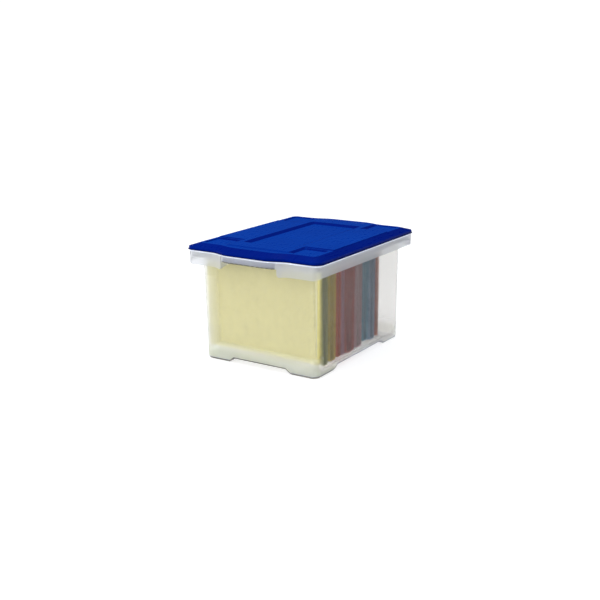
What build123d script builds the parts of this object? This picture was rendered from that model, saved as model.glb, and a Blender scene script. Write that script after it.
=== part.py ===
from build123d import *
import os

os.makedirs("parts", exist_ok=True)

# Millimetres. Origin at the middle of the footprint, on the floor. X is the width, Y the length,
# Z is up. The two handles are on the short ends, at -Y and +Y.

# ---- tub walls and floor ----
BASE_HALF_X = 153.5
BASE_HALF_Y = 192.0
WALL_SPREAD = 2.8
RAIL_Z = 256.0
CORNER_R = 17.0
WALL = 2.4
BASE_EDGE_R = 7.0

# ---- feet: what is left between two arched channels ----
ARCH_Z = 12.0
FOOT_X_LOW = 88.0
FOOT_X_HIGH = 72.0
FOOT_Y_LOW = 122.0
FOOT_Y_HIGH = 102.0
ARCH_ROOF_R = 6.0
FOOT_EDGE_R = 5.0
FOOT_CORNER_R = 8.0

# ---- rim outline, shared by tub rim and lid ----
RIM_HALF_X = 181.0
RIM_HALF_Y = 221.2
RIM_R = 21.0
BULGE = 13.8
BULGE_FLAT_X = 45.6
BULGE_END_X = 106.2

# ---- tub rim ----
GUTTER_FLOOR_Z = 249.0
BEAD_OUT = 11.6
BEAD_IN = 14.0
BEAD_TOP_Z = 269.0
FLANGE_LOW_Z = 260.4
FLANGE_TOP_Z = 262.9
FLANGE_INSET = 2.6
SKIRT_OUT = 3.6
SKIRT_IN = 5.8
SKIRT_SIDE_Z = 235.0
SKIRT_WING_Z = 226.5
WING_EDGE_X = 75.0
WING_CORNER_R = 10.0
WING_RISE_Y = (204.0, 228.0)

# ---- handle band on each short end ----
BAND_OUT = 6.4
BAND_IN = 8.6
BAND_LOW_Z = 246.0
RIB_COUNT = 11
RIB_PITCH = 12.6
RIB_THICK = 1.6
RIB_LOW_Z = 245.0

# ---- lid ----
LIP_LOW_Z = 263.4
LIP_TOP_Z = 264.8
LID_RIM_INSET = 2.0
LID_RIM_Z = 270.3
DECK_HALF_X = 157.5
DECK_HALF_Y = 197.0
DECK_R = 12.0
DECK_BULGE = 12.0
DECK_Z = 277.4
BAND_TOP_Z = 278.6
LID_THICK = 2.2
PANEL_X = 70.0
PANEL_Y = 147.0
PANEL_RAMP = 12.0
PANEL_Z = 274.6
PAD_X = (82.0, 150.0)
PAD_Y = (122.0, 190.0)
PAD_RAMP_X = 10.0
PAD_RAMP_Y = 16.0
PAD_EDGE_RAMP = 3.0
PAD_Z = 275.6
PLUG_OUT = 15.8
PLUG_IN = 17.8
PLUG_LOW_Z = 262.0
PLUG_TOP_Z = 273.8
LIP_EDGE_R = 0.5
RIM_EDGE_R = 0.7
PANEL_EDGE_R = 0.8
PANEL_FLOOR_R = 1.0
PAD_FLOOR_R = 0.6

# ---- hanging folders ----
SHEET_HALF_X = 149.0
SHEET = 0.8
HEM_DEPTH = 2.8
HEM_LOW_Z = 251.4
HEM_TOP_Z = 260.4
HEM_FOLD = 0.5
STRIP = 1.2
STRIP_LOW_Z = 252.4
STRIP_TOP_Z = 259.4
STRIP_HALF_X = 152.2
STRIP_NECK_Z = RAIL_Z + 0.3
HOOK_IN_X = 157.6
HOOK_OUT_X = 161.6
HOOK_LOW_Z = 251.6

# name, front wall Y, back wall Y, fold height, how far the two walls lean together at the fold
FOLDERS = (
    ("yellow", -181.0, -162.0, 30.0, 1.0),
    ("sage", -157.5, -135.0, 22.0, 2.5),
    ("olive", -131.0, -101.0, 24.0, 3.5),
    ("red", -97.0, -80.0, 25.0, 2.5),
    ("plum", -76.0, -64.0, 24.0, 2.0),
    ("maroon", -60.0, -18.0, 23.0, 5.0),
    ("grey", -14.0, 16.0, 24.0, 4.0),
    ("teal", 20.0, 47.0, 31.0, 3.5),
    ("slate", 51.0, 78.0, 26.0, 4.0),
    ("brick", 82.0, 96.0, 28.0, 3.0),
)


def swollen_face(half_x, half_y, radius, bulge):
    """Rounded rectangle whose two short ends swell outward by the bulge."""
    near = half_y + bulge
    with BuildSketch(mode=Mode.PRIVATE) as face:
        with BuildLine():
            Line((-BULGE_FLAT_X, -near), (BULGE_FLAT_X, -near))
            Spline(
                (BULGE_FLAT_X, -near),
                (BULGE_END_X, -half_y),
                tangents=((1, 0), (1, 0)),
            )
            Line((BULGE_END_X, -half_y), (half_x - radius, -half_y))
            CenterArc((half_x - radius, radius - half_y), radius, -90, 90)
            Line((half_x, radius - half_y), (half_x, half_y - radius))
            CenterArc((half_x - radius, half_y - radius), radius, 0, 90)
            Line((half_x - radius, half_y), (BULGE_END_X, half_y))
            Spline(
                (BULGE_END_X, half_y),
                (BULGE_FLAT_X, near),
                tangents=((-1, 0), (-1, 0)),
            )
            Line((BULGE_FLAT_X, near), (-BULGE_FLAT_X, near))
            Spline(
                (-BULGE_FLAT_X, near),
                (-BULGE_END_X, half_y),
                tangents=((-1, 0), (-1, 0)),
            )
            Line((-BULGE_END_X, half_y), (radius - half_x, half_y))
            CenterArc((radius - half_x, half_y - radius), radius, 90, 90)
            Line((-half_x, half_y - radius), (-half_x, radius - half_y))
            CenterArc((radius - half_x, radius - half_y), radius, 180, 90)
            Line((radius - half_x, -half_y), (-BULGE_END_X, -half_y))
            Spline(
                (-BULGE_END_X, -half_y),
                (-BULGE_FLAT_X, -near),
                tangents=((1, 0), (1, 0)),
            )
        make_face()
    return face.sketch


def plain_face(half_x, half_y, radius):
    """Rounded rectangle."""
    with BuildSketch(mode=Mode.PRIVATE) as face:
        RectangleRounded(2 * half_x, 2 * half_y, radius)
    return face.sketch


def rim_face(inset, swollen=True):
    """The rim outline moved inward by the inset."""
    half_x = RIM_HALF_X - inset
    half_y = RIM_HALF_Y - inset
    radius = RIM_R - inset
    if swollen:
        return swollen_face(half_x, half_y, radius, BULGE)
    return plain_face(half_x, half_y, radius)


def slab(face, low_z, top_z):
    """Straight block with the given plan."""
    with BuildPart(mode=Mode.PRIVATE) as body:
        with BuildSketch(Plane.XY.offset(low_z)):
            add(face)
        extrude(amount=top_z - low_z)
    return body.part


def ramped(low_face, low_z, top_face, top_z):
    """Block whose sides run straight from one plan to another."""
    with BuildPart(mode=Mode.PRIVATE) as body:
        with BuildSketch(Plane.XY.offset(low_z)):
            add(low_face)
        with BuildSketch(Plane.XY.offset(top_z)):
            add(top_face)
        loft(ruled=True)
    return body.part


def ring(outer_face, inner_face, low_z, top_z):
    """Straight band between two plans."""
    with BuildPart(mode=Mode.PRIVATE) as body:
        add(slab(outer_face, low_z, top_z))
        add(slab(inner_face, low_z - 1, top_z + 1), mode=Mode.SUBTRACT)
    return body.part


def wall_face(height, inset):
    """Plan of the tub walls at a height, moved inward by the inset."""
    lean = WALL_SPREAD * height / RAIL_Z
    half_x = BASE_HALF_X + lean - inset
    half_y = BASE_HALF_Y + lean - inset
    return plain_face(half_x, half_y, CORNER_R - inset)


def wall_block(low_z, top_z, inset, edge_radius):
    """Block inside the leaning walls, with its lower edge rounded."""
    with BuildPart(mode=Mode.PRIVATE) as body:
        add(ramped(wall_face(low_z, inset), low_z, wall_face(top_z, inset), top_z))
        fillet(body.faces().sort_by(Axis.Z)[0].edges(), radius=edge_radius)
    return body.part


def foot_block(side, end, low_z, floor_z, clearance):
    """One foot: two sloped inner sides, running out past the tub walls on the other two."""
    run_x = FOOT_X_LOW - FOOT_X_HIGH
    run_y = FOOT_Y_LOW - FOOT_Y_HIGH
    shift_x = clearance * (run_x**2 + ARCH_Z**2) ** 0.5 / ARCH_Z
    shift_y = clearance * (run_y**2 + ARCH_Z**2) ** 0.5 / ARCH_Z
    top_z = floor_z + 1
    with BuildPart(mode=Mode.PRIVATE) as body:
        for height in (low_z, top_z):
            inner_x = FOOT_X_LOW + shift_x - height * run_x / ARCH_Z
            inner_y = FOOT_Y_LOW + shift_y - height * run_y / ARCH_Z
            with BuildSketch(Plane.XY.offset(height)):
                with Locations((side * (inner_x + 200) / 2, end * (inner_y + 250) / 2)):
                    Rectangle(200 - inner_x, 250 - inner_y)
        loft(ruled=True)
        mid_z = (low_z + top_z) / 2
        upright = body.edges().filter_by_position(Axis.Z, mid_z - 0.5, mid_z + 0.5)
        upright = upright.sort_by(lambda edge: abs(edge.center().X) + abs(edge.center().Y))
        fillet(upright[0], radius=FOOT_CORNER_R)
        fillet(body.faces().sort_by(Axis.Z)[0].edges(), radius=FOOT_EDGE_R - clearance)
    return body.part


def footed_block(low_z, top_z, inset, edge_radius, floor_z, clearance):
    """Block inside the walls that stops at the floor and reaches down into the four feet."""
    with BuildPart(mode=Mode.PRIVATE) as feet:
        for side in (-1, 1):
            for end in (-1, 1):
                add(foot_block(side, end, low_z, floor_z, clearance))
        add(wall_block(low_z, top_z, inset, edge_radius), mode=Mode.INTERSECT)
    with BuildPart(mode=Mode.PRIVATE) as body:
        add(wall_block(low_z, top_z, inset, edge_radius))
        with Locations((0, 0, floor_z - 25)):
            Box(600, 600, 50, mode=Mode.SUBTRACT)
        add(feet.part)
        inner = level_edges(body, floor_z).filter_by(
            lambda edge: abs(edge.center().X) < BASE_HALF_X - 8
            and abs(edge.center().Y) < BASE_HALF_Y - 8
        )
        fillet(inner, radius=ARCH_ROOF_R + clearance)
    return body.part


def handle_cut():
    """Mouth under each handle: the wings beside it keep a rounded lower corner."""
    outer = WING_EDGE_X + WING_CORNER_R
    shoulder = SKIRT_WING_Z + WING_CORNER_R
    with BuildPart(mode=Mode.PRIVATE) as body:
        with BuildSketch(Plane.XZ):
            with BuildLine():
                Line((-outer, 200), (-outer, SKIRT_WING_Z))
                CenterArc((-outer, shoulder), WING_CORNER_R, -90, 90)
                Line((-WING_EDGE_X, shoulder), (-WING_EDGE_X, FLANGE_LOW_Z))
                Line((-WING_EDGE_X, FLANGE_LOW_Z), (WING_EDGE_X, FLANGE_LOW_Z))
                Line((WING_EDGE_X, FLANGE_LOW_Z), (WING_EDGE_X, shoulder))
                CenterArc((outer, shoulder), WING_CORNER_R, 180, 90)
                Line((outer, SKIRT_WING_Z), (outer, 200))
                Line((outer, 200), (-outer, 200))
            make_face()
        extrude(amount=300, both=True)
    return body.part


def side_cut():
    """What is below the skirt: shallow along the sides, deeper at the wings."""
    rise_y, wing_y = WING_RISE_Y
    with BuildPart(mode=Mode.PRIVATE) as body:
        with BuildSketch(Plane.YZ):
            with BuildLine():
                Polyline(
                    (-260, 200),
                    (-260, SKIRT_WING_Z),
                    (-wing_y, SKIRT_WING_Z),
                    (-rise_y, SKIRT_SIDE_Z),
                    (rise_y, SKIRT_SIDE_Z),
                    (wing_y, SKIRT_WING_Z),
                    (260, SKIRT_WING_Z),
                    (260, 200),
                    close=True,
                )
            make_face()
        extrude(amount=300, both=True)
    return body.part


def wing_returns():
    """Short walls that close each wing back to the tub beside the handle."""
    end_x = WING_EDGE_X + WALL / 2
    with BuildPart(mode=Mode.PRIVATE) as body:
        with Locations((0, 0, 238)):
            with GridLocations(2 * end_x, 420, 2, 2):
                Box(WALL, 60, 46)
        add(slab(rim_face(SKIRT_OUT + 1), 200, 280), mode=Mode.INTERSECT)
    return body.part


def skirt():
    """Outer apron hanging from the rim, with closed ends beside each handle."""
    with BuildPart(mode=Mode.PRIVATE) as body:
        add(ring(rim_face(SKIRT_OUT), rim_face(SKIRT_IN), 215, FLANGE_LOW_Z + 0.5))
        add(wing_returns())
        add(side_cut(), mode=Mode.SUBTRACT)
        add(handle_cut(), mode=Mode.SUBTRACT)
        add(slab(rim_face(BEAD_OUT, False), GUTTER_FLOOR_Z, 275), mode=Mode.SUBTRACT)
    return body.part


def band_strips():
    """The two shallow grip bands, cut from a ring that follows the rim."""
    with BuildPart(mode=Mode.PRIVATE) as body:
        with GridLocations(1, 2 * (RIM_HALF_Y + BULGE), 1, 2):
            Box(2 * WING_EDGE_X + 1, 80, 600)
        add(
            ring(rim_face(BAND_OUT), rim_face(BAND_IN), BAND_LOW_Z, FLANGE_LOW_Z + 0.5),
            mode=Mode.INTERSECT,
        )
    return body.part


def band_ribs():
    """Upright ribs between each grip band and the gutter wall."""
    rib_tall = FLANGE_LOW_Z + 0.5 - RIB_LOW_Z
    with BuildPart(mode=Mode.PRIVATE) as body:
        with Locations((0, 0, RIB_LOW_Z + rib_tall / 2)):
            with GridLocations(RIB_PITCH, 2 * (RIM_HALF_Y + 2), RIB_COUNT, 2):
                Box(RIB_THICK, 40, rib_tall)
        add(slab(rim_face(BAND_OUT + 1), 200, 280), mode=Mode.INTERSECT)
        add(slab(rim_face(BEAD_OUT + 0.5, False), 200, 280), mode=Mode.SUBTRACT)
    return body.part


def make_tub():
    """One-piece tub: leaning walls, arched floor on four hollow feet, gutter, rim and skirt."""
    gutter_low = GUTTER_FLOOR_Z - WALL
    with BuildPart() as tub:
        add(footed_block(0, RAIL_Z, 0, BASE_EDGE_R, ARCH_Z, 0))
        add(slab(rim_face(BEAD_OUT, False), gutter_low, GUTTER_FLOOR_Z))
        add(ring(rim_face(BEAD_OUT, False), rim_face(BEAD_IN, False), gutter_low, BEAD_TOP_Z))
        add(ring(rim_face(FLANGE_INSET), rim_face(BEAD_OUT + 0.8, False), FLANGE_LOW_Z, FLANGE_TOP_Z))
        add(skirt())
        add(band_strips())
        add(band_ribs())
        add(
            footed_block(WALL, RAIL_Z + 30, WALL, BASE_EDGE_R - WALL, ARCH_Z + WALL, WALL),
            mode=Mode.SUBTRACT,
        )
    return tub


def pad_face(grow, spread, radius):
    """Plans of the four corner pads: grow runs from 0 at the pad floor to 1 at the band top."""
    x0 = PAD_X[0] + PAD_RAMP_X * (1 - grow) - spread
    x1 = PAD_X[1] - PAD_EDGE_RAMP * (1 - grow) + spread
    y0 = PAD_Y[0] + PAD_RAMP_Y * (1 - grow) - spread
    y1 = PAD_Y[1] - PAD_EDGE_RAMP * (1 - grow) + spread
    with BuildSketch(mode=Mode.PRIVATE) as face:
        RectangleRounded(x1 - x0, y1 - y0, radius)
    return face.sketch, (x0 + x1) / 2, (y0 + y1) / 2


def corner_pad(side, end, drop, spread):
    """One sunk corner pad, lowered by the drop and larger all round by the spread."""
    over = 1.3
    low, low_x, low_y = pad_face(0, spread, 6)
    top, top_x, top_y = pad_face(over, spread, 8)
    top_z = PAD_Z + over * (BAND_TOP_Z - PAD_Z)
    with BuildPart(mode=Mode.PRIVATE) as body:
        with BuildSketch(Plane.XY.offset(PAD_Z - drop)):
            with Locations((side * low_x, end * low_y)):
                add(low)
        with BuildSketch(Plane.XY.offset(top_z - drop)):
            with Locations((side * top_x, end * top_y)):
                add(top)
        loft(ruled=True)
    return body.part


def centre_panel(drop, spread):
    """Sunk panel in the middle of the deck, lowered by the drop."""
    over = 1.2
    low = plain_face(PANEL_X - PANEL_RAMP + spread, PANEL_Y - PANEL_RAMP + spread, 5)
    reach = PANEL_RAMP * (over - 1) + spread
    top = plain_face(PANEL_X + reach, PANEL_Y + reach, 9)
    top_z = PANEL_Z + over * (BAND_TOP_Z - PANEL_Z)
    return ramped(low, PANEL_Z - drop, top, top_z - drop)


def sunk_areas(drop, spread):
    """All the sunk areas of the deck as one body."""
    with BuildPart(mode=Mode.PRIVATE) as body:
        add(centre_panel(drop, spread))
        for side in (-1, 1):
            for end in (-1, 1):
                add(corner_pad(side, end, drop, spread))
    return body.part


def lid_lip():
    """Thin lip all round the lid, with both its edges rounded."""
    with BuildPart(mode=Mode.PRIVATE) as body:
        add(slab(rim_face(0), LIP_LOW_Z, LIP_TOP_Z))
        fillet(body.faces().sort_by(Axis.Z)[-1].edges(), radius=LIP_EDGE_R)
        fillet(body.faces().sort_by(Axis.Z)[0].edges(), radius=LIP_EDGE_R)
    return body.part


def lid_rim():
    """Short upright rim of the lid, with its top edge rounded."""
    with BuildPart(mode=Mode.PRIVATE) as body:
        add(slab(rim_face(LID_RIM_INSET), LIP_LOW_Z, LID_RIM_Z))
        fillet(body.faces().sort_by(Axis.Z)[-1].edges(), radius=RIM_EDGE_R)
    return body.part


def level_edges(body, height):
    """The edges of a body that lie flat at a height."""
    return body.edges().filter_by_position(Axis.Z, height - 0.05, height + 0.05)


def lid_hollow():
    """The space under the lid shell, kept clear of the sunk pads and panel."""
    shell_z = DECK_Z - LID_THICK
    rim_z = LID_RIM_Z - LID_THICK
    roof = swollen_face(DECK_HALF_X - 1.6, DECK_HALF_Y - 1.6, DECK_R - 1.6, DECK_BULGE)
    with BuildPart(mode=Mode.PRIVATE) as body:
        add(slab(rim_face(LID_RIM_INSET + 2.4), LIP_LOW_Z - 3, rim_z))
        add(ramped(rim_face(LID_RIM_INSET + 3.0), rim_z, roof, shell_z))
        add(sunk_areas(LID_THICK, 1.5), mode=Mode.SUBTRACT)
    return body.part


def make_lid():
    """Clip-on lid: lip, short rim, sloped shoulder, raised bands, sunk pads and panel."""
    shoulder = rim_face(LID_RIM_INSET + 0.9)
    deck = swollen_face(DECK_HALF_X, DECK_HALF_Y, DECK_R, DECK_BULGE)
    wide_low = plain_face(DECK_HALF_X, PAD_Y[0] + 3, 2)
    wide_top = plain_face(DECK_HALF_X - 1.2, PAD_Y[0] - 2, 2)
    long_low = plain_face(PAD_X[0] + 4, DECK_HALF_Y - 2, 5)
    long_top = plain_face(PAD_X[0], DECK_HALF_Y - 13, 4)
    with BuildPart() as lid:
        add(lid_lip())
        add(lid_rim())
        add(ramped(shoulder, LID_RIM_Z, deck, DECK_Z))
        add(ramped(wide_low, DECK_Z, wide_top, BAND_TOP_Z))
        add(ramped(long_low, DECK_Z, long_top, BAND_TOP_Z))
        add(sunk_areas(0, 0), mode=Mode.SUBTRACT)
        panel_edges = level_edges(lid, BAND_TOP_Z).filter_by(
            lambda edge: abs(edge.center().X) < PANEL_X + 2
            and abs(edge.center().Y) < PANEL_Y + 2
        )
        fillet(panel_edges, radius=PANEL_EDGE_R)
        fillet(level_edges(lid, PANEL_Z), radius=PANEL_FLOOR_R)
        fillet(level_edges(lid, PAD_Z), radius=PAD_FLOOR_R)
        add(lid_hollow(), mode=Mode.SUBTRACT)
        add(ring(rim_face(PLUG_OUT, False), rim_face(PLUG_IN, False), PLUG_LOW_Z, PLUG_TOP_Z))
    return lid


def make_sheet(front_y, back_y, fold_z, lean):
    """Folder card: two hanging walls joined by a folded bottom, with a hem along each top edge."""
    half = SHEET / 2
    with BuildPart() as sheet:
        with BuildSketch(Plane.YZ):
            with BuildLine():
                Polyline(
                    (front_y - half, HEM_LOW_Z + 1),
                    (front_y - half + lean, fold_z + 2),
                    (front_y - half + lean + 2, fold_z),
                    (back_y + half - lean - 2, fold_z),
                    (back_y + half - lean, fold_z + 2),
                    (back_y + half, HEM_LOW_Z + 1),
                    (back_y - half, HEM_LOW_Z + 1),
                    (back_y - half - lean, fold_z + 2 + SHEET / 2),
                    (back_y - half - lean - 1.6, fold_z + SHEET),
                    (front_y + half + lean + 1.6, fold_z + SHEET),
                    (front_y + half + lean, fold_z + 2 + SHEET / 2),
                    (front_y + half, HEM_LOW_Z + 1),
                    close=True,
                )
            make_face()
            for top_y in (front_y, back_y):
                with Locations((top_y, (HEM_LOW_Z + HEM_TOP_Z) / 2)):
                    Rectangle(HEM_DEPTH, HEM_TOP_Z - HEM_LOW_Z)
                    Rectangle(
                        HEM_DEPTH - 2 * HEM_FOLD,
                        HEM_TOP_Z - HEM_LOW_Z - 2 * HEM_FOLD,
                        mode=Mode.SUBTRACT,
                    )
        extrude(amount=SHEET_HALF_X, both=True)
    return sheet


def make_strip(top_y):
    """Flat steel hanger inside a hem, notched near each end to sit on the tub's rail."""
    with BuildPart() as strip:
        with BuildSketch(Plane.XZ.offset(-top_y)):
            with BuildLine():
                Polyline(
                    (-HOOK_OUT_X, STRIP_TOP_Z - 1.5),
                    (-HOOK_OUT_X, HOOK_LOW_Z),
                    (-HOOK_IN_X, HOOK_LOW_Z),
                    (-HOOK_IN_X, STRIP_NECK_Z),
                    (-STRIP_HALF_X, STRIP_NECK_Z),
                    (-STRIP_HALF_X, STRIP_LOW_Z),
                    (STRIP_HALF_X, STRIP_LOW_Z),
                    (STRIP_HALF_X, STRIP_NECK_Z),
                    (HOOK_IN_X, STRIP_NECK_Z),
                    (HOOK_IN_X, HOOK_LOW_Z),
                    (HOOK_OUT_X, HOOK_LOW_Z),
                    (HOOK_OUT_X, STRIP_TOP_Z - 1.5),
                    (HOOK_OUT_X - 1.5, STRIP_TOP_Z),
                    (1.5 - HOOK_OUT_X, STRIP_TOP_Z),
                    close=True,
                )
            make_face()
        extrude(amount=STRIP / 2, both=True)
    return strip


def save(builder, name):
    """Label a part and write it to its own file."""
    builder.part.label = name
    export_step(builder.part, "parts/" + name + ".step")


save(make_tub(), "tub")
save(make_lid(), "lid")
for colour, front_y, back_y, fold_z, lean in FOLDERS:
    save(make_sheet(front_y, back_y, fold_z, lean), "folder_" + colour + "_sheet")
    save(make_strip(front_y), "folder_" + colour + "_front_hanger")
    save(make_strip(back_y), "folder_" + colour + "_back_hanger")
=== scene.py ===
"""A hanging-file storage tote: frosted tub, blue clip-on lid and ten folders on steel hangers."""

import math
import random

import bpy
from mathutils import Matrix, Vector


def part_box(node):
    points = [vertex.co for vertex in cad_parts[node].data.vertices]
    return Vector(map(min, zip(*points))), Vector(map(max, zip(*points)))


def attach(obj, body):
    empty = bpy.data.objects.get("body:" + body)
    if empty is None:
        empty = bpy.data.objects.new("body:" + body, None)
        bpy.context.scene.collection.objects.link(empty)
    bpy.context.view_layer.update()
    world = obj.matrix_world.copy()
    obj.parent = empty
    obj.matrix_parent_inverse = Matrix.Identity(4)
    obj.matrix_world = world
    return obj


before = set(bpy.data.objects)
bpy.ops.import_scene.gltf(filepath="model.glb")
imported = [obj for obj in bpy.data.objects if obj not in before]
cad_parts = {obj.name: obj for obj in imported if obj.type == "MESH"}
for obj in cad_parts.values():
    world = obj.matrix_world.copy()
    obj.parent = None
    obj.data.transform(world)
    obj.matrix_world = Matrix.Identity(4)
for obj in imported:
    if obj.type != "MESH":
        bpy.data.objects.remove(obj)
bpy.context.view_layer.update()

# Lengths are in metres. A pair is where a fade starts and ends, unless its heading says otherwise.

# ---- camera: turns in degrees, lens and sensor in millimetres ----
CAMERA_PLACE = Vector((1.1834, -1.8086, 0.7002))
CAMERA_YAW = 33.5
CAMERA_DIP = 15.1
CAMERA_ROLL = -0.7
CAMERA_LENS = 55.9
CAMERA_SENSOR = 36.0

# ---- studio floor, dome and backdrop ----
FLOOR_HALF = 12.0
FLOOR_WHITE = 0.45
FLOOR_GLOW = 0.74
SKY_LOW = 0.06
SKY_HIGH = 2.6
SKY_EDGE = (0.68, 0.92)
SKY_COLOUR = (0.90, 0.95, 1.0)
BACKDROP_WHITE = 1.05

# ---- key light: power in watts ----
KEY_PLACE = (-1.3, -2.4, 1.5)
KEY_TARGET = (0.0, -0.1, 0.12)
KEY_SIZE = 2.2
KEY_POWER = 50.0

# ---- tub walls: half sizes at the rim and at the foot, and where a long wall begins ----
WALL_HALF_X = 0.1570
WALL_HALF_Y = 0.1955
WALL_FOOT_X = 0.1505
WALL_FOOT_Y = 0.1865
LONG_WALL_X = (0.1485, 0.1500)

# ---- tub corners and base: where they turn milky, and where the base clears to the rear; its darker tone further forward is painted shade under the folders ----
CORNER_X = (0.1500, 0.1520)
CORNER_Y = (0.1840, 0.1865)
END_WALL_Y = (0.1550, 0.1850)
BASE_Z = (0.022, 0.006)
END_BASE_Z = (0.050, 0.026)
FLOOR_PANEL_X = 0.122
FLOOR_PANEL_Y = 0.158
FLOOR_PANEL_FADE = 0.024
REAR_Y = (0.05, 0.15)

# ---- arches between the feet: crown, ends, a line of painted shade along them, and the feet's edges ----
ARCH_TOP = 0.012
ARCH_END_X = (0.072, 0.088)
ARCH_END_Y = (0.102, 0.122)
SHADE_LINE = 0.0022
ROLLED_EDGE_Z = (0.020, 0.021)

# ---- ribbed grip band, darkened with painted shade: its extent, its toothed foot of deeper painted shade and the pitch of its teeth ----
GRIP_X = (0.0700, 0.0715)
GRIP_Y = (0.215, 0.218)
GRIP_TOP_Z = (0.2585, 0.2592)
GRIP_FADE_Z = (0.2485, 0.2580)
GRIP_FOOT_Z = (0.2472, 0.2486)
GRIP_PITCH = 0.0126

# ---- flange, lower edges of the skirts and wings, and the clearer low walls, by height ----
FLANGE_Z = (0.2592, 0.2602)
HEM_Z = (0.226, 0.248)
BELOW_HEM_Z = (0.200, 0.210)
CLEAR_Z = (0.03, 0.17)

# ---- cloudier left end of the tub's front ----
HAZE_X = (-0.105, -0.143)
HAZE_Y = (-0.165, -0.180)
HAZE_MOST = 0.85

# ---- tub plastic: how far each mask moves its tone along the colour ramp ----
CLOUD_TONE = 0.12
MOULDED_TONE = 0.45
HAZE_TONE = 0.26
RIM_TONE = 0.10
# painted shade on the grip band
GRIP_SHADE_TONE = 0.46
# painted shade along the bottom outline
UNDERSIDE_SHADE_TONE = 0.55

# ---- flange under the lid: solidity, and the glow that stands for light through it ----
FLANGE_SOLID = 0.8
FLANGE_GLOW = 0.30
FLANGE_GLOW_COLOUR = (0.74, 0.80, 1.0, 1.0)

# ---- lid: top of its thin lip, below which painted shade makes it darkest, and how upright a face is where it counts as level and is painted lighter ----
LID_LIP_TOP = 0.2650
LID_LIP_FADE = 0.0004
LID_LEVEL = (0.984, 0.9995)

# ---- file folders in each hanging folder; their two sides are shares of the pitch ----
FILE_SEED = 11
FILE_HALF_X = 0.1462
FILE_TOP_Z = 0.2455
FILE_PITCH = 0.0048
FILE_SIDES = (0.10, 0.92)
FILE_CORNERS = 8
TAB_HALF = 0.042
TAB_HEIGHT = 0.0085
TAB_SLANT = 0.004
TAB_STEP = 0.094
POCKET_EDGE = 0.0024
POCKET_FLOOR = 0.0014
POCKET_TAPER = 0.22

# ---- how much the file folders vary in height, width and tab place ----
VARY_TOP = 0.004
VARY_HALF = 0.0016
VARY_TAB = 0.003

# ---- folder card colours, linear ----
CARD_COLOURS = {
    "yellow": (0.95, 0.90, 0.47),
    "sage": (0.50, 0.52, 0.26),
    "olive": (0.78, 0.60, 0.14),
    "red": (0.64, 0.16, 0.10),
    "plum": (0.52, 0.29, 0.34),
    "maroon": (0.54, 0.17, 0.16),
    "grey": (0.56, 0.37, 0.39),
    "teal": (0.20, 0.39, 0.51),
    "slate": (0.28, 0.38, 0.52),
    "brick": (0.60, 0.22, 0.16),
}

# ---- file folders: tint as a share of their card's colour, raised for the yellow files as painted light, and glow of light through them ----
FILE_TINT = 0.56
FILE_PAINTED_LIGHT_TINT_OF = {"yellow": 1.1}
FILE_GLOW_OF = {"yellow": 0.26}
FILE_GLOW_COLOUR = (1.0, 0.88, 0.30, 1.0)


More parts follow.
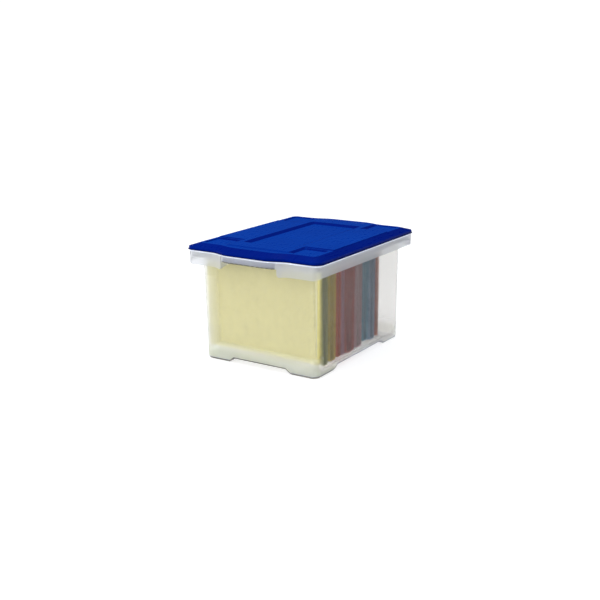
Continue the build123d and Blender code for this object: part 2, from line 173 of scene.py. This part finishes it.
class Shader:
    """A material built round one Principled node, in object coordinates (metres)."""

    def __init__(self, name, **sockets):
        self.material = bpy.data.materials.new(name)
        self.material.use_nodes = True
        self.tree = self.material.node_tree
        self.tree.nodes.clear()
        self.output = self.tree.nodes.new("ShaderNodeOutputMaterial")
        self.main = self.tree.nodes.new("ShaderNodeBsdfPrincipled")
        self.link(self.main.outputs[0], self.output.inputs["Surface"])
        coordinates = self.tree.nodes.new("ShaderNodeTexCoord")
        self.place = coordinates.outputs["Object"]
        self.normal = coordinates.outputs["Normal"]
        for socket, value in sockets.items():
            self.main.inputs[socket.replace("_", " ")].default_value = value

    def link(self, source, target):
        self.tree.links.new(source, target)

    def split(self, vector):
        """The X, Y and Z parts of a vector."""
        node = self.tree.nodes.new("ShaderNodeSeparateXYZ")
        self.link(vector, node.inputs[0])
        return node.outputs["X"], node.outputs["Y"], node.outputs["Z"]

    def stretched(self, scale):
        """Object coordinates multiplied by a scale along each axis."""
        node = self.tree.nodes.new("ShaderNodeMapping")
        node.inputs["Scale"].default_value = scale
        self.link(self.place, node.inputs["Vector"])
        return node.outputs[0]

    def noise(self, scale, detail=2.0, roughness=0.5, vector=None):
        """Noise over a vector, which is the object coordinates unless another is given."""
        node = self.tree.nodes.new("ShaderNodeTexNoise")
        node.inputs["Scale"].default_value = scale
        node.inputs["Detail"].default_value = detail
        node.inputs["Roughness"].default_value = roughness
        self.link(vector or self.place, node.inputs["Vector"])
        return node.outputs["Fac"]

    def spread(self, source, low, high, out_low, out_high):
        """Maps a value from one range to another and clamps it."""
        node = self.tree.nodes.new("ShaderNodeMapRange")
        for socket, value in zip(node.inputs[1:5], (low, high, out_low, out_high)):
            socket.default_value = value
        self.link(source, node.inputs["Value"])
        return node.outputs[0]

    def colours(self, source, *stops):
        """Colour ramp from (position, linear colour) stops."""
        node = self.tree.nodes.new("ShaderNodeValToRGB")
        ramp = node.color_ramp
        while len(ramp.elements) < len(stops):
            ramp.elements.new(0.5)
        for element, (position, colour) in zip(ramp.elements, stops):
            element.position = position
            element.color = (*colour, 1.0)
        self.link(source, node.inputs["Fac"])
        return node.outputs["Color"]

    def bump(self, height, distance, strength=1.0, under=None):
        """Normal from a height that spans the distance in metres, laid over an earlier bump."""
        node = self.tree.nodes.new("ShaderNodeBump")
        node.inputs["Strength"].default_value = strength
        node.inputs["Distance"].default_value = distance
        self.link(height, node.inputs["Height"])
        if under:
            self.link(under, node.inputs["Normal"])
        return node.outputs[0]

    def math(self, operation, first, second):
        """One arithmetic node; each operand is a number or another node's output."""
        node = self.tree.nodes.new("ShaderNodeMath")
        node.operation = operation
        for socket, value in zip(node.inputs, (first, second)):
            if isinstance(value, float):
                socket.default_value = value
            else:
                self.link(value, socket)
        return node.outputs[0]

    def axes(self):
        """Distance from the middle along X, the same along Y, and height."""
        x, y, height = self.split(self.place)
        across = self.math("ABSOLUTE", x, 0.0)
        along = self.math("ABSOLUTE", y, 0.0)
        return across, along, height

    def past(self, half_x, half_y):
        """How far a point stands outside a rectangle round the middle, negative inside it."""
        across, along, _ = self.axes()
        past_x = self.math("SUBTRACT", across, half_x)
        past_y = self.math("SUBTRACT", along, half_y)
        return self.math("MAXIMUM", past_x, past_y)

    def rim_mask(self):
        """1 on what stands outside the tub's walls, 0 on the walls and inside them."""
        return self.spread(self.past(WALL_HALF_X, WALL_HALF_Y), 0.0, 0.001, 0.0, 1.0)

    def thick_mask(self):
        """Rises to 1 toward the tub's corners and base, higher up on its two end walls, and less
        toward the rear, leaving painted shade on the base under the folders.
        """
        across, along, height = self.axes()
        corner_x = self.spread(across, *CORNER_X, 0.0, 0.45)
        corner_y = self.spread(along, *CORNER_Y, 0.0, 0.45)
        end_wall = self.spread(along, *END_WALL_Y, 0.0, 1.0)
        end_base = self.math("MULTIPLY", end_wall, self.spread(height, *END_BASE_Z, 0.0, 1.0))
        base = self.math("MAXIMUM", end_base, self.spread(height, *BASE_Z, 0.0, 1.0))
        floor_edge = self.past(FLOOR_PANEL_X, FLOOR_PANEL_Y)
        floor_rim = self.spread(floor_edge, 0.0, FLOOR_PANEL_FADE, 0.0, 1.0)
        base = self.math("MULTIPLY", base, floor_rim)
        # the base weakens toward the rear, so its darker tone further forward is painted shade
        # under the folders
        rear = self.spread(self.split(self.place)[1], *REAR_Y, 1.0, 0.65)
        base = self.math("MULTIPLY", base, rear)
        return self.math("MAXIMUM", base, self.math("MINIMUM", corner_x, corner_y))

    def underside_shade_mask(self):
        """Painted shade along the tub's bottom outline: 1 on the rolled edges of its feet and the
        foot of each wall.
        """
        across, along, height = self.axes()
        rolled = self.spread(self.split(self.normal)[2], -0.05, -0.35, 0.0, 1.0)
        mask = self.math("MULTIPLY", rolled, self.spread(height, *ROLLED_EDGE_Z, 1.0, 0.0))
        for outward, wall_foot, sideways, arch_end in (
            (along, WALL_FOOT_Y, across, ARCH_END_X),
            (across, WALL_FOOT_X, along, ARCH_END_Y),
        ):
            line = self.spread(sideways, *arch_end, ARCH_TOP + SHADE_LINE, SHADE_LINE)
            below = self.spread(self.math("SUBTRACT", height, line), 0.0, 0.0006, 1.0, 0.0)
            wall = self.spread(outward, wall_foot, wall_foot + 0.001, 0.0, 1.0)
            mask = self.math("MAXIMUM", mask, self.math("MULTIPLY", wall, below))
        return mask

    def flange_mask(self):
        """1 on the thin flange that carries the lid, 0 below it."""
        return self.spread(self.axes()[2], *FLANGE_Z, 0.0, 1.0)

    def grip_shade_mask(self):
        """Weight of painted shade on the ribbed grip band between each handle's wings, most at its
        toothed foot.
        """
        across, along, height = self.axes()
        middle = self.spread(across, *GRIP_X, 1.0, 0.0)
        outside = self.spread(along, *GRIP_Y, 0.0, 1.0)
        below = self.spread(height, *GRIP_TOP_Z, 1.0, 0.0)
        band = self.math("MULTIPLY", self.math("MULTIPLY", middle, outside), below)
        turns = self.math("MULTIPLY", across, 2.0 * math.pi / GRIP_PITCH)
        teeth = self.spread(self.math("SINE", turns, 0.0), -1.0, 1.0, 0.75, 1.15)
        foot = self.math("MULTIPLY", teeth, self.spread(height, *GRIP_FOOT_Z, 1.0, 0.0))
        fade = self.spread(height, *GRIP_FADE_Z, 0.55, 0.25)
        return self.math("MULTIPLY", band, self.math("MAXIMUM", fade, foot))

    def hem_mask(self):
        """1, but less along the thin lower edges of the skirts and wings."""
        height = self.axes()[2]
        below = self.spread(height, *BELOW_HEM_Z, 1.0, 0.0)
        return self.math("MAXIMUM", below, self.spread(height, *HEM_Z, 0.60, 1.0))

    def clear_mask(self, milky):
        """Up to 0.3 low on the two long walls, where they are clearest, 0 where they are milky."""
        across, _, height = self.axes()
        low = self.spread(height, *CLEAR_Z, 0.3, 0.0)
        plain = self.math("MULTIPLY", low, self.spread(milky, 0.0, 0.3, 1.0, 0.0))
        return self.math("MULTIPLY", plain, self.spread(across, *LONG_WALL_X, 0.0, 1.0))

    def left_haze(self):
        """Rises along the tub's front toward its left end, where the real tub is cloudier."""
        x, y, _ = self.split(self.place)
        return self.math(
            "MULTIPLY",
            self.spread(x, *HAZE_X, 0.0, HAZE_MOST),
            self.spread(y, *HAZE_Y, 0.0, 1.0),
        )

    def drive(self, **sources):
        """Links sources into the Principled node's sockets and returns the material."""
        for socket, source in sources.items():
            self.link(source, self.main.inputs[socket.replace("_", " ")])
        return self.material


def tinted(colour, factor):
    """A colour made lighter or darker by a factor, never past full."""
    return tuple(min(1.0, part * factor) for part in colour)


def tub_plastic():
    """Frosted natural polypropylene: clear at the walls, milkier in the rim, corners and feet, with
    painted shade on the grip band, the bottom outline and the base under the folders, and a painted
    glow on the flange.
    """
    shader = Shader(
        "tub_plastic",
        IOR=1.08,
        Subsurface_Weight=1.0,
        Subsurface_Radius=(1.0, 1.0, 1.0),
        Subsurface_Scale=0.006,
        Emission_Color=FLANGE_GLOW_COLOUR,
    )
    cloud = shader.noise(14.0, 3.0)
    grain = shader.noise(900.0, 3.0, 0.6)
    flow = shader.noise(1.0, 2.0, vector=shader.stretched((30.0, 30.0, 8.0)))
    haze = shader.left_haze()
    rim = shader.rim_mask()
    moulded = shader.math("MAXIMUM", rim, shader.thick_mask())
    milky = shader.math("MAXIMUM", moulded, haze)
    flange = shader.flange_mask()
    tone = shader.math(
        "MAXIMUM",
        shader.math("MULTIPLY", moulded, MOULDED_TONE),
        shader.math("MULTIPLY", haze, HAZE_TONE),
    )
    for mask, weight in (
        (cloud, CLOUD_TONE),
        (rim, RIM_TONE),
        # painted shade on the grip band
        (shader.grip_shade_mask(), GRIP_SHADE_TONE),
        # painted shade along the bottom outline
        (shader.underside_shade_mask(), UNDERSIDE_SHADE_TONE),
    ):
        tone = shader.math("ADD", tone, shader.math("MULTIPLY", mask, weight))
    thinned = shader.math("MULTIPLY", milky, shader.hem_mask())
    solid = shader.math("ADD", thinned, shader.math("MULTIPLY", flange, FLANGE_SOLID))
    solid = shader.math("SUBTRACT", solid, shader.clear_mask(milky))
    return shader.drive(
        Emission_Strength=shader.math("MULTIPLY", flange, FLANGE_GLOW),
        Base_Color=shader.colours(
            tone,
            (0.06, (0.72, 0.705, 0.68)),
            (0.28, (0.96, 0.96, 0.93)),
            (0.50, (0.78, 0.805, 0.70)),
            (0.62, (0.76, 0.77, 0.80)),
            (0.85, (0.52, 0.54, 0.62)),
            # the two darkest stops are reached only by the painted shade of the grip band and the
            # bottom outline
            (0.96, (0.30, 0.30, 0.34)),
            (1.00, (0.15, 0.14, 0.12)),
        ),
        Transmission_Weight=shader.spread(solid, 0.0, 1.8, 0.90, 0.30),
        Alpha=shader.spread(solid, -0.3, 1.0, 0.44, 0.92),
        Roughness=shader.spread(shader.math("ADD", grain, milky), 0.3, 1.7, 0.20, 0.50),
        Normal=shader.bump(grain, 0.00006, under=shader.bump(flow, 0.0002, 0.2)),
    )


def lid_plastic():
    """Satin royal blue polypropylene, with painted light and shade: lighter on level faces, darker
    on its slopes and darkest along the thin lip.
    """
    shader = Shader(
        "lid_plastic",
        IOR=1.22,
        Specular_IOR_Level=0.08,
        Specular_Tint=(0.06, 0.35, 1.0, 1.0),
    )
    cloud = shader.noise(9.0, 4.0)
    grain = shader.noise(1400.0, 2.0, 0.6)
    scuff = shader.noise(1.0, 3.0, vector=shader.stretched((260.0, 40.0, 80.0)))
    height = shader.axes()[2]
    above_lip = shader.spread(height, LID_LIP_TOP, LID_LIP_TOP + LID_LIP_FADE, 0.0, 1.0)
    level = shader.spread(shader.split(shader.normal)[2], *LID_LEVEL, 0.0, 1.0)
    # painted light and shade: level faces lighter, slopes darker, the lip darkest
    tone = shader.math("MULTIPLY", shader.math("ADD", level, 1.0), 0.4)
    tone = shader.math("ADD", tone, shader.math("MULTIPLY", cloud, 0.2))
    return shader.drive(
        Base_Color=shader.colours(
            shader.math("MULTIPLY", tone, above_lip),
            (0.0, (0.0, 0.006, 0.09)),
            (0.5, (0.0, 0.010, 0.19)),
            (0.95, (0.0, 0.045, 0.36)),
        ),
        Roughness=shader.spread(scuff, 0.35, 0.75, 0.26, 0.36),
        Normal=shader.bump(grain, 0.00002),
    )


def folder_card(name, colour):
    """Pressed folder card: fibres and mottling, with lighter and darker upright streaks toward its
    open edges.
    """
    shader = Shader(name)
    mottle = shader.noise(60.0, 4.0, 0.6)
    fibres = shader.noise(1.0, 5.0, 0.7, vector=shader.stretched((900.0, 300.0, 300.0)))
    lines = shader.noise(1.0, 2.0, 0.7, vector=shader.stretched((240.0, 240.0, 5.0)))
    edge = shader.spread(shader.axes()[0], 0.120, 0.146, 0.0, 0.75)
    # lighter and darker upright streaks toward the open edges
    edge_streaks = shader.math("MULTIPLY", shader.math("SUBTRACT", lines, 0.5), edge)
    return shader.drive(
        Base_Color=shader.colours(
            shader.math("ADD", mottle, shader.math("MULTIPLY", edge_streaks, 3.0)),
            (0.0, tinted(colour, 0.45)),
            (0.35, tinted(colour, 0.97)),
            (0.65, tinted(colour, 1.02)),
            (1.0, tinted(colour, 1.45)),
        ),
        Roughness=shader.spread(fibres, 0.3, 0.7, 0.72, 0.90),
        Normal=shader.bump(fibres, 0.00012, 0.6),
    )


def file_folder(name, colour, glow):
    """Filled file folder: fine sheet edges on its ends and top, and painted shade, darker toward
    the bottom and lighter toward the top.
    """
    shader = Shader(name, Emission_Color=FILE_GLOW_COLOUR, Emission_Strength=glow)
    sheets = shader.noise(1.0, 3.0, 0.8, vector=shader.stretched((4.0, 1500.0, 4.0)))
    fibres = shader.noise(500.0, 3.0, 0.7)
    # painted shade: darker toward the bottom, a little lighter at the top
    fade = shader.spread(shader.axes()[2], 0.03, 0.21, -0.13, 0.05)
    return shader.drive(
        Base_Color=shader.colours(
            shader.math("ADD", sheets, fade),
            (0.30, tinted(colour, 0.55)),
            (0.50, tinted(colour, 1.0)),
            (0.70, tinted(colour, 1.4)),
        ),
        Roughness=shader.spread(fibres, 0.3, 0.7, 0.75, 0.92),
        Normal=shader.bump(sheets, 0.00030, 0.8),
    )


def hanger_steel():
    """Zinc-plated rolled strip, brushed along its length."""
    shader = Shader("hanger_steel", Metallic=1.0)
    brushed = shader.noise(1.0, 4.0, 0.7, vector=shader.stretched((40.0, 1800.0, 1800.0)))
    spangle = shader.noise(120.0, 2.0)
    return shader.drive(
        Base_Color=shader.colours(
            spangle, (0.3, (0.52, 0.53, 0.55)), (0.7, (0.66, 0.67, 0.68))
        ),
        Roughness=shader.spread(brushed, 0.3, 0.7, 0.26, 0.46),
        Normal=shader.bump(brushed, 0.00004, 0.7),
    )


def paint(node, material):
    """Gives every slot of a CAD node one material."""
    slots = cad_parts[node].material_slots
    for index in range(len(slots)):
        slots[index].material = material


def finish_parts():
    """Materials for every CAD node."""
    paint("tub", tub_plastic())
    paint("lid", lid_plastic())
    steel = hanger_steel()
    for name, colour in CARD_COLOURS.items():
        paint(f"folder_{name}_sheet", folder_card(f"{name}_card", colour))
        paint(f"folder_{name}_front_hanger", steel)
        paint(f"folder_{name}_back_hanger", steel)


def file_outline(half, low, top, tab_x):
    """Corners of one file folder seen from the front, with its tab on the top edge."""
    tab_top = top + TAB_HEIGHT
    return (
        (-half, low),
        (half, low),
        (half, top),
        (tab_x + TAB_HALF, top),
        (tab_x + TAB_HALF - TAB_SLANT, tab_top),
        (tab_x - TAB_HALF + TAB_SLANT, tab_top),
        (tab_x - TAB_HALF, top),
        (-half, top),
    )


def fill_folder(name, colour, draw):
    """File folders standing in one hanging folder's pocket, closer together toward its fold."""
    low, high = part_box(f"folder_{name}_sheet")
    front, back = low.y + POCKET_EDGE, high.y - POCKET_EDGE
    taper = POCKET_TAPER * (back - front)
    foot = low.z + POCKET_FLOOR
    count = max(2, round((back - front) / FILE_PITCH))
    corners, faces = [], []
    for index in range(count):
        top = FILE_TOP_Z - draw.uniform(0.0, VARY_TOP)
        half = FILE_HALF_X - draw.uniform(0.0, VARY_HALF)
        tab_x = (-TAB_STEP, 0.0, TAB_STEP)[index % 3] + draw.uniform(-VARY_TAB, VARY_TAB)
        near = len(corners)
        far = near + FILE_CORNERS
        for side in FILE_SIDES:
            share = (index + side) / count
            at_top = front + share * (back - front)
            at_foot = front + taper + share * (back - front - 2.0 * taper)
            for x, z in file_outline(half, foot, top, tab_x):
                lift = (z - foot) / (top - foot)
                corners.append((x, at_foot + min(lift, 1.0) * (at_top - at_foot), z))
        faces.append([near + corner for corner in range(FILE_CORNERS)])
        faces.append([far + corner for corner in reversed(range(FILE_CORNERS))])
        for corner in range(FILE_CORNERS):
            following = (corner + 1) % FILE_CORNERS
            faces.append([near + corner, far + corner, far + following, near + following])
    mesh = bpy.data.meshes.new(f"files_{name}")
    mesh.from_pydata(corners, [], faces)
    glow = FILE_GLOW_OF.get(name, 0.0)
    mesh.materials.append(file_folder(f"{name}_files", colour, glow))
    stack = bpy.data.objects.new(f"files_{name}", mesh)
    bpy.context.scene.collection.objects.link(stack)
    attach(stack, f"folder_{name}")


def fill_folders():
    """File folders in every hanging folder, from one seeded row of draws."""
    draw = random.Random(FILE_SEED)
    for name, colour in CARD_COLOURS.items():
        # the yellow files' raised tint is painted light
        fill_folder(name, tinted(colour, FILE_PAINTED_LIGHT_TINT_OF.get(name, FILE_TINT)), draw)


def studio_floor():
    """Plain pale floor, wide enough to reach the horizon of every view."""
    mesh = bpy.data.meshes.new("floor")
    signs = ((-1, -1), (1, -1), (1, 1), (-1, 1))
    corners = [(x * FLOOR_HALF, y * FLOOR_HALF, 0.0) for x, y in signs]
    mesh.from_pydata(corners, [], [(0, 1, 2, 3)])
    floor = bpy.data.objects.new("floor", mesh)
    bpy.context.scene.collection.objects.link(floor)
    shader = Shader(
        "floor_paint",
        Roughness=0.8,
        Base_Color=(FLOOR_WHITE, FLOOR_WHITE, FLOOR_WHITE, 1.0),
        Emission_Color=(1.0, 1.0, 1.0, 1.0),
        Emission_Strength=FLOOR_GLOW,
    )
    mesh.materials.append(shader.material)


def key_light():
    """Large square soft box in front, to the left."""
    data = bpy.data.lights.new("key", "AREA")
    data.size = KEY_SIZE
    data.energy = KEY_POWER
    light = bpy.data.objects.new("key", data)
    bpy.context.scene.collection.objects.link(light)
    aim = Vector(KEY_TARGET) - Vector(KEY_PLACE)
    turn = aim.to_track_quat("-Z", "Y").to_matrix().to_4x4()
    light.matrix_world = Matrix.Translation(KEY_PLACE) @ turn


def studio_sky():
    """Faintly blue dome, dark near the horizon, and a plain white backdrop that the camera sees."""
    world = bpy.data.worlds.new("studio")
    world.use_nodes = True
    tree = world.node_tree
    tree.nodes.clear()
    output = tree.nodes.new("ShaderNodeOutputWorld")
    place = tree.nodes.new("ShaderNodeTexCoord")
    parts = tree.nodes.new("ShaderNodeSeparateXYZ")
    height = tree.nodes.new("ShaderNodeMapRange")
    height.interpolation_type = "SMOOTHSTEP"
    for socket, value in zip(height.inputs[1:5], (*SKY_EDGE, SKY_LOW, SKY_HIGH)):
        socket.default_value = value
    dome = tree.nodes.new("ShaderNodeBackground")
    dome.inputs["Color"].default_value = (*SKY_COLOUR, 1.0)
    backdrop = tree.nodes.new("ShaderNodeBackground")
    backdrop.inputs["Color"].default_value = (1.0, 1.0, 1.0, 1.0)
    backdrop.inputs["Strength"].default_value = BACKDROP_WHITE
    seen = tree.nodes.new("ShaderNodeLightPath")
    choose = tree.nodes.new("ShaderNodeMixShader")
    for source, target in (
        (place.outputs["Generated"], parts.inputs[0]),
        (parts.outputs["Z"], height.inputs["Value"]),
        (height.outputs[0], dome.inputs["Strength"]),
        (seen.outputs["Is Camera Ray"], choose.inputs[0]),
        (dome.outputs[0], choose.inputs[1]),
        (backdrop.outputs[0], choose.inputs[2]),
        (choose.outputs[0], output.inputs["Surface"]),
    ):
        tree.links.new(source, target)
    bpy.context.scene.world = world


def photo_camera():
    """Camera at the photograph's viewing angle."""
    data = bpy.data.cameras.new("camera")
    data.lens = CAMERA_LENS
    data.sensor_width = CAMERA_SENSOR
    camera = bpy.data.objects.new("camera", data)
    bpy.context.scene.collection.objects.link(camera)
    turn = Matrix.Rotation(math.radians(CAMERA_YAW), 4, "Z")
    dip = Matrix.Rotation(math.radians(90.0 - CAMERA_DIP), 4, "X")
    roll = Matrix.Rotation(math.radians(CAMERA_ROLL), 4, "Z")
    camera.matrix_world = Matrix.Translation(CAMERA_PLACE) @ turn @ dip @ roll
    bpy.context.scene.camera = camera


finish_parts()
fill_folders()
studio_floor()
studio_sky()
key_light()
photo_camera()
bpy.context.scene.view_settings.view_transform = "Standard"
